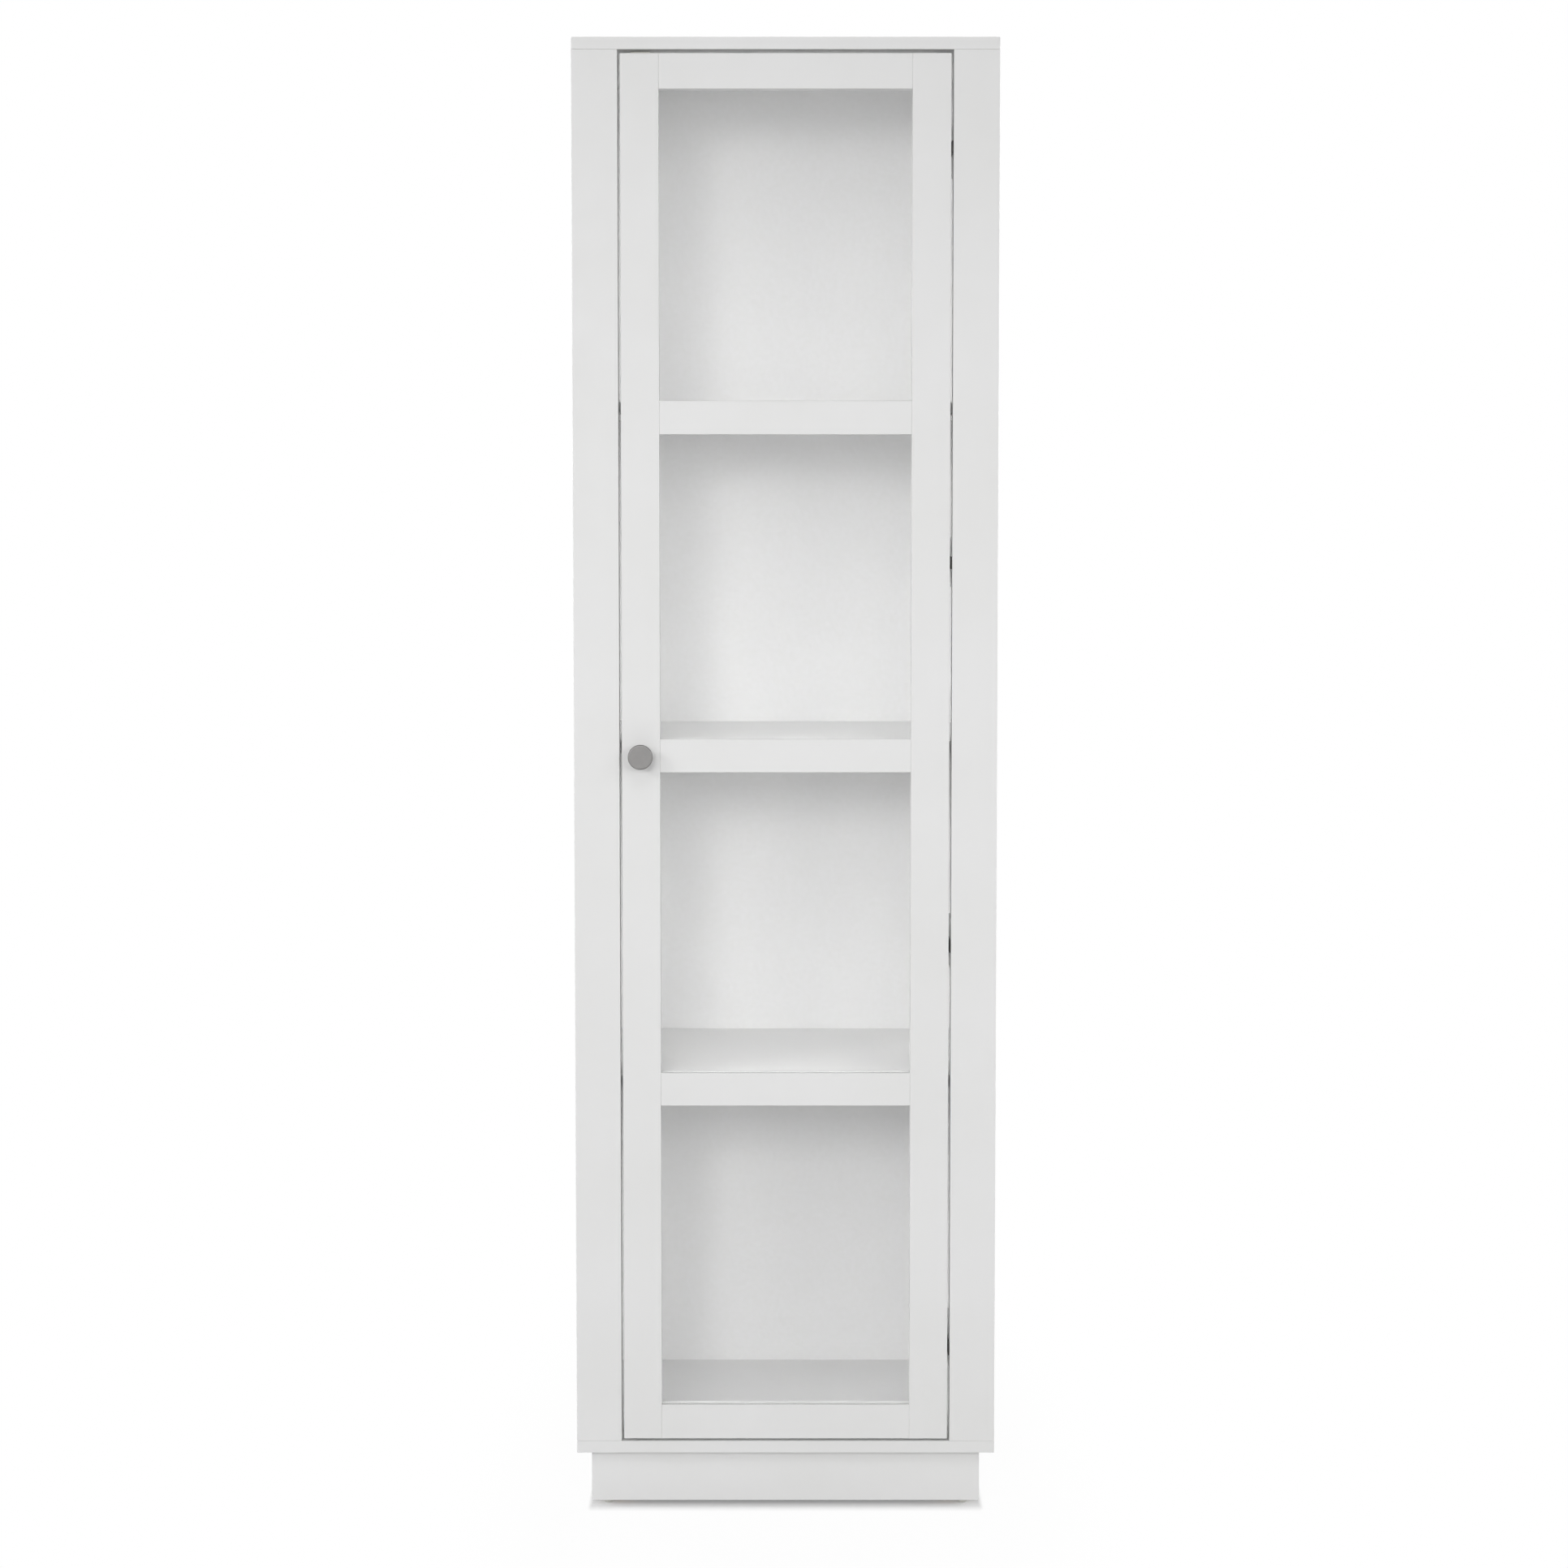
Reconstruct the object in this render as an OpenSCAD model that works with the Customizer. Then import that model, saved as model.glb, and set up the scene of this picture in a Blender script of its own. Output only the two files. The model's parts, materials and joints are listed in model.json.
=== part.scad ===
// Tall display cabinet with one glazed door that sits flush between its front stiles.
// Lengths are in millimetres. X runs across the front, with the hinges on the +X side.
// The front faces -Y, Z is up, and the floor is at Z = 0.
// A depth is measured back from the front faces of the stiles and the door.

/* [Carcass] */
// Width over the side panels
carcass_w = 520; // [480:5:640]
// Depth from the front stiles' faces to the rear edges
carcass_d = 400; // [320:5:480]
// Height of the carcass with its top and bottom panels
carcass_h = 1745; // [1640:5:1840]
// Thickness of the top and bottom panels
panel_t = 15; // [14:1:22]
// Thickness of the side panels
side_t = 15; // [14:1:19]
// Width of a front stile
front_stile_w = 56; // [50:1:75]
// Thickness of a front stile
front_stile_t = 20; // [18:1:28]

/* [Back] */
// Thickness of the back panel
back_t = 4; // [3:0.5:6]
// Distance from the rear edges to the back panel's rear face
back_setback = 10; // [6:1:20]
// Depth of the groove that holds the back panel
back_groove = 6; // [4:1:8]

/* [Shelves] */
// Thickness of a shelf
shelf_t = 15; // [12:1:22]
// Height of the middle shelf's top above the middle of the door
shelf_rise = 16.25; // [0:0.25:20]
// How much farther apart the shelves lie than the door's middle rails
shelf_spread = 3; // [0:0.5:6]
// Gap between the door's back and the shelf fronts
shelf_front_gap = 5; // [3:0.5:40]
// Diameter of a shelf pin in the side panel
pin_d = 5; // [4:0.5:7]
// Diameter of the part of a pin that carries the shelf
pin_head_d = 7; // [7:0.5:10]
// Depth of a shelf pin in the side panel
pin_in = 9; // [7:0.5:11]
// Length of a shelf pin under the shelf
pin_out = 8; // [6:0.5:12]
// Distance from a shelf's front and back edges to its pins
pin_inset = 38; // [25:1:60]
// Distance between the holes for the shelf pins
pin_hole_pitch = 32; // [25:1:40]

/* [Plinth] */
// Height of the plinth boards
plinth_h = 66; // [55:1:90]
// Thickness of the plinth boards
plinth_t = 12; // [10:1:18]
// Setback of the plinth from the cabinet's sides
plinth_side_setback = 17.5; // [10:0.5:30]
// Setback of the plinth from the cabinet's front and rear
plinth_end_setback = 18; // [10:0.5:40]
// Width and depth of a corner block
corner_block_w = 40; // [36:1:60]
// Diameter of a glide
glide_d = 14; // [12:1:20]
// Height of a glide under the plinth
glide_h = 7; // [5:0.5:10]
// Distance from the plinth's side face to a glide's centre
glide_side_inset = 20; // [19:0.5:26]
// Distance from the plinth's front or rear face to a glide's centre
glide_end_inset = 17; // [16:0.5:26]

/* [Door frame] */
// Thickness of the door
door_t = 20; // [20:1:24]
// Gap at each side of the door
door_side_gap = 2.9; // [2:0.1:3.5]
// Gap above the door
door_top_gap = 4.5; // [2:0.1:6]
// Gap below the door
door_bottom_gap = 3; // [2:0.1:5]
// Width of a door stile
door_stile_w = 47; // [47:1:60]
// Height of the top and bottom rails
end_rail_h = 43; // [42:1:80]
// Height of a middle rail
mid_rail_h = 41; // [41:1:60]
// Distance between the centres of the middle rails
mid_rail_pitch = 414; // [380:1:440]

/* [Glazing] */
// Thickness of the glass
glass_t = 4; // [3:0.5:5]
// Thickness of the frame's lip in front of the glass
glass_lip_t = 8; // [6:0.5:9]
// Width of the rebate that holds the glass and its beads
rebate_w = 7; // [6:0.25:7.25]

/* [Knob] */
// Diameter of the knob's head
knob_d = 30.5; // [24:0.5:36]
// Distance from the door's face to the knob's face
knob_projection = 25; // [20:0.5:32]
// Thickness of the knob's head at its rim
knob_rim_t = 6; // [4:0.5:8]
// Diameter of the knob's neck
knob_neck_d = 12; // [10:0.5:16]
// Diameter of the knob's foot
knob_foot_d = 17; // [16:0.5:24]

/* [Hinges] */
// Distance from the door's ends to the end hinges
hinge_end = 112; // [90:0.5:140]
// Distance from the door's ends to the inner hinges
hinge_inner = 617; // [600:0.5:640]
// Height of a hinge's arm and plate
hinge_h = 15; // [14:0.5:18]
// Diameter of the bore for a hinge cup
cup_d = 35; // [35:0.5:36]
// Depth of the bore for a hinge cup
cup_depth = 12; // [11.5:0.25:13]
// Wood left between the door's edge and a hinge cup
cup_edge = 4; // [3.5:0.1:4]
// Distance from the door's edge to the pin in the cup
cup_pin_in = 15; // [14.5:0.25:16]
// Depth of the pin in the cup from the door's back
cup_pin_depth = 6; // [5.5:0.1:6.5]
// Distance from the opening's side to the pin in the arm
arm_pin_in = 16; // [15.5:0.25:17]
// Distance from the door's back to the pin in the arm
arm_pin_behind = 7; // [6.75:0.25:8]
// Diameter of the hinge pins
hinge_pin_d = 3; // [2.5:0.1:3.2]
// Width of the hinge links
link_w = 5; // [4:0.25:5.5]
// Length of the arm and plate, from front to rear
arm_length = 68; // [60:1:90]
// Thickness of the mounting plate
plate_t = 3; // [2.5:0.25:4]

/* [Fasteners] */
// Diameter of the wooden dowels
dowel_d = 8; // [6:0.5:8]
// Length of the dowels in the carcass
carcass_dowel_length = 30; // [26:1:34]
// Length of the dowels in the door frame
door_dowel_length = 40; // [30:1:50]
// Diameter of a cam lock
cam_d = 15; // [12:0.5:16]
// Distance from a side panel's end to its cam locks
cam_in = 34; // [24:1:40]
// Shank diameter of the wood screws
screw_d = 4; // [3.5:0.1:4.5]
// Head diameter of the wood screws
screw_head_d = 7.6; // [7:0.1:8.4]

/* [Hidden] */
$fn = 48;

// Colours as the cabinet shows them
lacquer = [0.90, 0.90, 0.89];
lacquer_inside = [0.86, 0.86, 0.85];
beech = [0.80, 0.66, 0.47];
nickel = [0.57, 0.57, 0.57];
hinge_steel = [0.28, 0.28, 0.27];
zinc = [0.70, 0.71, 0.72];
pale_plastic = [0.88, 0.88, 0.86];
clear_pad = [0.80, 0.82, 0.82, 0.8];
clear_glass = [0.82, 0.90, 0.89, 0.35];

// Clearances: loose for a hole's end, close for a round fit, thin for a running face
loose = 0.5;
close = 0.1;
thin = 0.05;
cut = 1;

// Places of the carcass
front_y = knob_projection - (carcass_d + knob_projection) / 2;
half_w = carcass_w / 2;
inner_half = half_w - side_t;
opening_half = half_w - front_stile_w;
carcass_z0 = glide_h + plinth_h;
carcass_z1 = carcass_z0 + carcass_h;
opening_z0 = carcass_z0 + panel_t;
opening_z1 = carcass_z1 - panel_t;
back_v1 = carcass_d - back_setback;
back_v0 = back_v1 - back_t;

// Heights of the door
door_z0 = opening_z0 + door_bottom_gap;
door_z1 = opening_z1 - door_top_gap;
door_mid_z = (door_z0 + door_z1) / 2;

// Places of the shelves, which lie behind the door's middle rails, and of their pins
shelf_v0 = door_t + shelf_front_gap;
shelf_v1 = back_v0 - loose;
shelf_pitch = mid_rail_pitch + shelf_spread;
shelf_z0 = [for (i = [-1:1]) door_mid_z + shelf_rise + i * shelf_pitch - shelf_t];
pin_v = [shelf_v0 + pin_inset, shelf_v1 - pin_inset];
pin_z = [for (z = shelf_z0) z - pin_head_d / 2];

// Places of the plinth
plinth_half = half_w - plinth_side_setback;
plinth_v0 = plinth_end_setback;
plinth_v1 = carcass_d - plinth_end_setback;
block_half = plinth_half - plinth_t;
plinth_screw_out = corner_block_w * 0.65;
plinth_screw_u = block_half - plinth_screw_out;
plinth_screw_in = panel_t - 4;
plinth_screw_head_z = glide_h + plinth_h / 2;
plinth_screw_head_t = 2.4;
glide_nail_d = 2.4;
glide_nail_in = 16;
glide_rim_t = 2;
glide_flat_r = glide_d * 0.2;
glide_arc = [for (i = [0:6]) 90 * i / 6];

// Places of the door and its rails
door_half = opening_half - door_side_gap;
pane_half = door_half - door_stile_w;
rail_z0 = [
    door_z0,
    door_mid_z - mid_rail_pitch - mid_rail_h / 2,
    door_mid_z - mid_rail_h / 2,
    door_mid_z + mid_rail_pitch - mid_rail_h / 2,
    door_z1 - end_rail_h
];
rail_h = [end_rail_h, mid_rail_h, mid_rail_h, mid_rail_h, end_rail_h];
bead_v0 = glass_lip_t + glass_t;
door_dowel_v = door_t / 2;
door_dowel_step = dowel_d;

// Places of the knob, and the chamfer behind its head
knob_u = -(door_half - door_stile_w / 2);
knob_foot_t = 2.5;
knob_chamfer_w = 2;
knob_chamfer_t = 1.5;
knob_round_r = 1.2;
knob_screw_in = 14;
knob_screw_head_t = 2.5;

// Places of the hinges: the door turns about the line that the links give it, in the side gap
hinge_z = [door_z0 + hinge_end, door_z0 + hinge_inner, door_z1 - hinge_inner, door_z1 - hinge_end];
swing_axis = [opening_half - door_side_gap / 2, 0];
cup_u = door_half - cup_edge - cup_d / 2;
cup_v0 = door_t - cup_depth;
cup_wall = 1.5;
cup_flange_t = 1;
cup_wing_in = 17;
cup_wing_out = 10;
cup_wing_z = 30;
cup_screw_out = 9.5;
cup_screw_z = 22.5;
cup_screw_in = 10;
cup_cheek_in = 0.6;
cup_pin = [door_half - cup_pin_in, door_t - cup_pin_depth];
arm_pin = [opening_half - arm_pin_in, door_t + arm_pin_behind];
knuckle = arm_pin + cup_pin - swing_axis;
crank_run = 16;
crank_side = 5;
crank_reach = 26;
crank_1 = knuckle - [0, crank_run];
crank_2 = knuckle + [crank_side, -crank_reach];
link_overrun = hinge_pin_d / 2 + 2 * close;
swing_barrel_d = link_w + 3;
knuckle_eye_d = link_w + 2.6;
cup_eye_d = link_w + 1.4;
cheek_t = 2.5;
web_t = 2;
fork_t = 2.4;
link_half_h = hinge_h / 2 - cheek_t - 2 * close;
tongue_half_h = link_half_h - fork_t - 2 * close;
arm_behind_door = 4;
arm_v0 = door_t + arm_behind_door;
arm_v1 = arm_v0 + arm_length;
arm_fork_length = 26;
arm_web_v0 = arm_v0 + arm_fork_length;
arm_boss_d = 10;
plate_u = opening_half - plate_t;
arm_u = arm_pin.x - web_t;
plate_screw_front = 12;
plate_screw_rear = 20;
plate_screw_v = [arm_v0 + plate_screw_front, arm_v1 - plate_screw_rear];
plate_screw_in = 22;
plate_recess = plate_t * 0.6;
plate_lip_t = door_side_gap * 0.6;
plate_lip_v0 = 3;
arm_screw_front = 6;
arm_screw_rear = 8;
arm_screw_v = [arm_web_v0 + arm_screw_front, arm_v1 - arm_screw_rear];
hinge_screw_head_t = 1.6;
driver_slot_length = 6;
driver_slot_w = 1;
driver_slot_depth = 1;
hinge_block_h = 60;
hinge_block_rear = 4;
hinge_block_v1 = arm_v1 + hinge_block_rear;

// Places of the fasteners
cam_t = 12;
cam_slot_length = 8;
cam_slot_w = 1.4;
cam_slot_depth = 2.5;
cam_front = 72;
cam_rear = 62;
cam_v = [cam_front, carcass_d - cam_rear];
cam_bolt_d = 6;
cam_tip_d = 5;
cam_tip_in = panel_t - 4;
side_mid = inner_half + side_t / 2;
panel_dowel_end = 130;
panel_dowel_v = [panel_dowel_end, carcass_d - panel_dowel_end];
panel_dowel_in = 10;
stile_dowel_in = 12;
stile_dowel_count = 5;
stile_dowel_end = 120;
stile_mid = (opening_half + inner_half) / 2;
stile_dowel_step = (opening_z1 - opening_z0 - 2 * stile_dowel_end) / (stile_dowel_count - 1);
stile_dowel_z = [for (i = [0:stile_dowel_count - 1]) opening_z0 + stile_dowel_end + i * stile_dowel_step];

// Places of the two stops behind the left door stile, each with one screw. An end is a panel's
// face and the way from it into the cabinet.
stop_ends = [[opening_z0, 1], [opening_z1, -1]];
stop_inset = 12;
stop_w = 24;
stop_u0 = stop_inset - door_half;
stop_h = 14;
stop_depth = 12;
pad_t = 1.6;
pad_d = 9;
stop_v0 = door_t + close + pad_t;
stop_screw_u = stop_u0 + stop_w / 2;
stop_screw_v = stop_v0 + stop_depth / 2;
stop_screw_in = 7;
stop_recess = 3;

// A box between two widths, two depths and two heights
module board(u0, u1, v0, v1, z0, z1) {
    translate([u0, front_y + v0, z0])
        cube([u1 - u0, v1 - v0, z1 - z0]);
}

// Round bars along X, along Y and along Z
module rod_x(u0, u1, v, z, d) {
    translate([u0, front_y + v, z])
        rotate([0, 90, 0])
            cylinder(h = u1 - u0, d = d);
}

module rod_y(u, v0, v1, z, d) {
    translate([u, front_y + v0, z])
        rotate([-90, 0, 0])
            cylinder(h = v1 - v0, d = d);
}

module rod_z(u, v, z0, z1, d) {
    translate([u, front_y + v, min(z0, z1)])
        cylinder(h = abs(z1 - z0), d = d);
}

// A flat bar along a line of points, seen from above, with mitred bends. Its ends run on past the
// first and the last point.
function along(p, q) = (q - p) / norm(q - p);
function aside(p, q) = [p.y - q.y, q.x - p.x] / norm(q - p);
function mitre(p, q, r) = (aside(p, q) + aside(q, r)) / (1 + aside(p, q) * aside(q, r));

module bar(points, z0, z1) {
    last = len(points) - 1;
    start = points[0] - link_overrun * along(points[0], points[1]);
    end = points[last] + link_overrun * along(points[last - 1], points[last]);
    spine = concat([start], [for (i = [1:1:last - 1]) points[i]], [end]);
    reach = concat(
        [aside(points[0], points[1])],
        [for (i = [1:1:last - 1]) mitre(points[i - 1], points[i], points[i + 1])],
        [aside(points[last - 1], points[last])]
    ) * link_w / 2;
    translate([0, front_y, z0])
        linear_extrude(height = z1 - z0)
            polygon(concat(spine + reach, [for (i = [last:-1:0]) spine[i] - reach[i]]));
}

module both_sides() {
    children();
    mirror([1, 0, 0])
        children();
}

// Carcass

// The fittings between the side panels and an end panel. joint_z is the plane where they meet,
// and into is 1 where the end panel lies above it and -1 where it lies below.
module cam_bolt_holes(joint_z, into) {
    for (v = cam_v) {
        rod_z(side_mid, v, joint_z, joint_z + into * (cam_tip_in + loose), cam_tip_d + 2 * close);
        rod_z(side_mid, v, joint_z, joint_z - into * cam_in, cam_bolt_d + 2 * loose);
    }
}

module panel_dowel_set(joint_z, into, gap, spare) {
    for (v = panel_dowel_v)
        rod_z(side_mid, v, joint_z + into * (panel_dowel_in + spare),
            joint_z - into * (carcass_dowel_length - panel_dowel_in + spare), dowel_d + 2 * gap);
    rod_z(stile_mid, front_stile_t / 2, joint_z + into * (panel_dowel_in + spare),
        joint_z - into * (carcass_dowel_length - panel_dowel_in + spare), dowel_d + 2 * gap);
}

module stile_dowel_set(gap, spare) {
    for (z = stile_dowel_z)
        rod_y(side_mid, front_stile_t - stile_dowel_in - spare,
            front_stile_t + carcass_dowel_length - stile_dowel_in + spare, z, dowel_d + 2 * gap);
}

module end_panel(z0, joint_z, into) {
    groove_z = joint_z + into * back_groove;
    color(lacquer)
        difference() {
            board(-half_w, half_w, 0, carcass_d, z0, z0 + panel_t);
            board(-inner_half - back_groove, inner_half + back_groove, back_v0 - close, back_v1 + close,
                min(groove_z, joint_z - into), max(groove_z, joint_z - into));
            both_sides() {
                cam_bolt_holes(joint_z, into);
                panel_dowel_set(joint_z, into, close, loose);
            }
        }
}

module top_panel() {
    difference() {
        end_panel(opening_z1, opening_z1, 1);
        stop_screw_hole(opening_z1, 1);
    }
}

module bottom_panel() {
    difference() {
        end_panel(carcass_z0, opening_z0, -1);
        plinth_screw_holes(screw_d, carcass_z0 - cut, carcass_z0 + plinth_screw_in + loose);
        stop_screw_hole(opening_z0, -1);
    }
}

module side_panel() {
    color(lacquer)
        difference() {
            board(inner_half, half_w, front_stile_t, carcass_d, opening_z0, opening_z1);
            board(inner_half - cut, inner_half + back_groove, back_v0 - close, back_v1 + close,
                opening_z0 - cut, opening_z1 + cut);
            for (end = [[opening_z0, -1], [opening_z1, 1]]) {
                cam_bolt_holes(end[0], end[1]);
                panel_dowel_set(end[0], end[1], close, loose);
                for (v = cam_v)
                    rod_x(inner_half - cut, inner_half + cam_t + close, v, end[0] - end[1] * cam_in,
                        cam_d + 2 * close);
            }
            stile_dowel_set(close, loose);
            for (v = pin_v)
                for (z = pin_z)
                    for (step = [-1, 0, 1])
                        rod_x(inner_half - cut, inner_half + pin_in + loose, v, z + step * pin_hole_pitch,
                            pin_d + 2 * close);
        }
}

module side_panel_right() {
    side_panel();
}

module side_panel_left() {
    mirror([1, 0, 0])
        side_panel();
}

module front_stile() {
    color(lacquer)
        difference() {
            board(opening_half, half_w, 0, front_stile_t, opening_z0, opening_z1);
            stile_dowel_set(close, loose);
            panel_dowel_set(opening_z0, -1, close, loose);
            panel_dowel_set(opening_z1, 1, close, loose);
        }
}

module front_stile_right() {
    front_stile();
}

module front_stile_left() {
    mirror([1, 0, 0])
        front_stile();
}

module back_panel() {
    edge = back_groove - loose;
    color(lacquer_inside)
        board(-inner_half - edge, inner_half + edge, back_v0, back_v1, opening_z0 - edge, opening_z1 + edge);
}

module shelf(i) {
    shelf_half = inner_half - loose;
    color(lacquer_inside)
        board(-shelf_half, shelf_half, shelf_v0, shelf_v1, shelf_z0[i], shelf_z0[i] + shelf_t);
}

module shelf_lower() {
    shelf(0);
}

module shelf_middle() {
    shelf(1);
}

module shelf_upper() {
    shelf(2);
}

module shelf_pins() {
    color(zinc)
        both_sides()
            for (z = pin_z)
                for (v = pin_v) {
                    rod_x(inner_half - pin_out, inner_half, v, z, pin_head_d);
                    rod_x(inner_half - cut, inner_half + pin_in, v, z, pin_d);
                }
}

// Carcass fittings

module cam_locks() {
    color(zinc)
        both_sides()
            for (end = [[opening_z0, -1], [opening_z1, 1]])
                for (v = cam_v) {
                    z = end[0] - end[1] * cam_in;
                    difference() {
                        rod_x(inner_half, inner_half + cam_t, v, z, cam_d);
                        rod_z(side_mid, v, z, z + end[1] * cam_d, cam_bolt_d + 2 * loose);
                        for (slot = [[cam_slot_length, cam_slot_w], [cam_slot_w, cam_slot_length]])
                            board(inner_half - cut, inner_half + cam_slot_depth, v - slot[0] / 2,
                                v + slot[0] / 2, z - slot[1] / 2, z + slot[1] / 2);
                    }
                }
}

module cam_bolts() {
    color(zinc)
        both_sides()
            for (end = [[opening_z0, -1], [opening_z1, 1]])
                for (v = cam_v) {
                    rod_z(side_mid, v, end[0], end[0] - end[1] * (cam_in - cam_bolt_d / 2), cam_bolt_d);
                    rod_z(side_mid, v, end[0] - end[1] * cut, end[0] + end[1] * cam_tip_in, cam_tip_d);
                }
}

module panel_dowels() {
    color(beech)
        both_sides() {
            panel_dowel_set(opening_z0, -1, 0, 0);
            panel_dowel_set(opening_z1, 1, 0, 0);
        }
}

module stile_dowels() {
    color(beech)
        both_sides()
            stile_dowel_set(0, 0);
}

// Plinth

module plinth_front() {
    color(lacquer)
        board(-plinth_half, plinth_half, plinth_v0, plinth_v0 + plinth_t, glide_h, carcass_z0);
}

module plinth_back() {
    color(lacquer)
        board(-plinth_half, plinth_half, plinth_v1 - plinth_t, plinth_v1, glide_h, carcass_z0);
}

module plinth_side() {
    color(lacquer)
        board(block_half, plinth_half, plinth_v0 + plinth_t, plinth_v1 - plinth_t, glide_h, carcass_z0);
}

module plinth_side_right() {
    plinth_side();
}

module plinth_side_left() {
    mirror([1, 0, 0])
        plinth_side();
}

module at_plinth_corners() {
    for (front = [0, 1])
        translate([0, front * (2 * front_y + carcass_d), 0])
            mirror([0, front, 0])
                both_sides()
                    children();
}

module plinth_screw_holes(d, z0, z1) {
    at_plinth_corners()
        rod_z(plinth_screw_u, plinth_v0 + plinth_t + plinth_screw_out, z0, z1, d);
}

module plinth_corner_blocks() {
    color(beech)
        difference() {
            at_plinth_corners()
                board(block_half - corner_block_w, block_half, plinth_v0 + plinth_t,
                    plinth_v0 + plinth_t + corner_block_w, glide_h, carcass_z0);
            plinth_screw_holes(screw_d + 2 * close, glide_h, carcass_z0 + cut);
            plinth_screw_holes(screw_head_d + 2 * loose, glide_h - cut, plinth_screw_head_z);
            at_plinth_corners()
                rod_z(plinth_half - glide_side_inset, plinth_v0 + glide_end_inset, glide_h - cut,
                    glide_h + glide_nail_in + loose, glide_nail_d + 2 * close);
        }
}

module plinth_screws() {
    color(zinc) {
        plinth_screw_holes(screw_d - 2 * close, plinth_screw_head_z - cut, carcass_z0 + plinth_screw_in);
        plinth_screw_holes(screw_head_d, plinth_screw_head_z - plinth_screw_head_t, plinth_screw_head_z);
    }
}

module floor_glides() {
    dome_r = glide_d / 2 - glide_flat_r;
    dome_h = glide_h - glide_rim_t;
    dome = [for (a = glide_arc) [glide_flat_r + dome_r * sin(a), dome_h * (1 - cos(a))]];
    outline = concat([[0, 0]], dome, [
        [glide_d / 2, glide_h],
        [glide_nail_d / 2, glide_h],
        [glide_nail_d / 2, glide_h + glide_nail_in],
        [0, glide_h + glide_nail_in]
    ]);
    color(pale_plastic)
        at_plinth_corners()
            translate([plinth_half - glide_side_inset, front_y + plinth_v0 + glide_end_inset, 0])
                rotate_extrude()
                    polygon(outline);
}

// Door stops

module stop_screw_hole(face_z, into) {
    rod_z(stop_screw_u, stop_screw_v, face_z - into * cut, face_z + into * (stop_screw_in + loose),
        screw_d);
}

module door_stops() {
    color(pale_plastic)
        difference() {
            for (z = [opening_z0, opening_z1 - stop_h])
                board(stop_u0, stop_u0 + stop_w, stop_v0, stop_v0 + stop_depth, z, z + stop_h);
            for (end = stop_ends) {
                rod_z(stop_screw_u, stop_screw_v, end[0] - end[1] * cut, end[0] + end[1] * (stop_h + cut),
                    screw_d + 2 * close);
                rod_z(stop_screw_u, stop_screw_v, end[0] + end[1] * (stop_h - stop_recess),
                    end[0] + end[1] * (stop_h + cut), screw_head_d + 2 * close);
            }
        }
}

module door_stop_pads() {
    color(clear_pad)
        for (z = [opening_z0 + stop_h / 2, opening_z1 - stop_h / 2])
            rod_y(stop_screw_u, stop_v0 - pad_t, stop_v0, z, pad_d);
}

module door_stop_screws() {
    color(zinc)
        for (end = stop_ends) {
            rod_z(stop_screw_u, stop_screw_v, end[0] - end[1] * stop_screw_in,
                end[0] + end[1] * (stop_h - cut), screw_d - 2 * close);
            rod_z(stop_screw_u, stop_screw_v, end[0] + end[1] * (stop_h - stop_recess),
                end[0] + end[1] * (stop_h - loose), screw_head_d);
        }
}

// Hinges, seen from above: the arm's pin and the cup's pin carry two links, so that the links, the
// arm and the door make a parallelogram that turns the door about swing_axis.

module hinge_blocks() {
    color(lacquer_inside)
        difference() {
            for (z = hinge_z)
                board(opening_half, inner_half, front_stile_t, hinge_block_v1,
                    z - hinge_block_h / 2, z + hinge_block_h / 2);
            for (z = hinge_z)
                for (v = plate_screw_v)
                    rod_x(opening_half - cut, opening_half + plate_screw_in, v, z, screw_d);
        }
}

module hinge_plates() {
    color(hinge_steel)
        difference() {
            for (z = hinge_z) {
                board(plate_u, opening_half, arm_v0, arm_v1, z - hinge_h / 2, z + hinge_h / 2);
                board(opening_half - plate_lip_t, opening_half, plate_lip_v0, arm_v0 + cut,
                    z - hinge_h / 2, z + hinge_h / 2);
            }
            for (z = hinge_z) {
                for (v = plate_screw_v) {
                    rod_x(plate_u - cut, opening_half + cut, v, z, screw_d + 2 * close);
                    rod_x(plate_u - cut, plate_u + plate_recess, v, z, screw_head_d + 2 * close);
                }
                for (v = arm_screw_v)
                    rod_x(plate_u - cut, opening_half + cut, v, z, screw_d + 2 * thin);
            }
        }
}

module hinge_plate_screws() {
    color(zinc)
        for (z = hinge_z)
            for (v = plate_screw_v) {
                rod_x(plate_u, plate_u + plate_recess, v, z, screw_head_d);
                rod_x(plate_u + cut, opening_half + plate_screw_in - loose, v, z, screw_d - 2 * close);
            }
}

module hinge_arm(i) {
    z = hinge_z[i];
    top = hinge_h / 2;
    inside = top - cheek_t;
    color(hinge_steel)
        difference() {
            union() {
                board(arm_u, plate_u, arm_v0, arm_v1, z - top, z + top);
                rod_z(arm_pin.x, arm_pin.y, z - top, z + top, arm_boss_d);
            }
            board(arm_u + web_t, plate_u + cut, arm_v0 - cut, arm_v1 + cut, z - inside, z + inside);
            board(arm_u - arm_boss_d, plate_u + cut, door_t, arm_web_v0, z - inside, z + inside);
            rod_z(arm_pin.x, arm_pin.y, z - hinge_h, z + hinge_h, hinge_pin_d + 2 * thin);
            for (v = arm_screw_v)
                rod_x(arm_u - cut, arm_u + web_t + cut, v, z, screw_d + 2 * close);
        }
}

module hinge_arm_1() {
    hinge_arm(0);
}

module hinge_arm_2() {
    hinge_arm(1);
}

module hinge_arm_3() {
    hinge_arm(2);
}

module hinge_arm_4() {
    hinge_arm(3);
}

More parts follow.
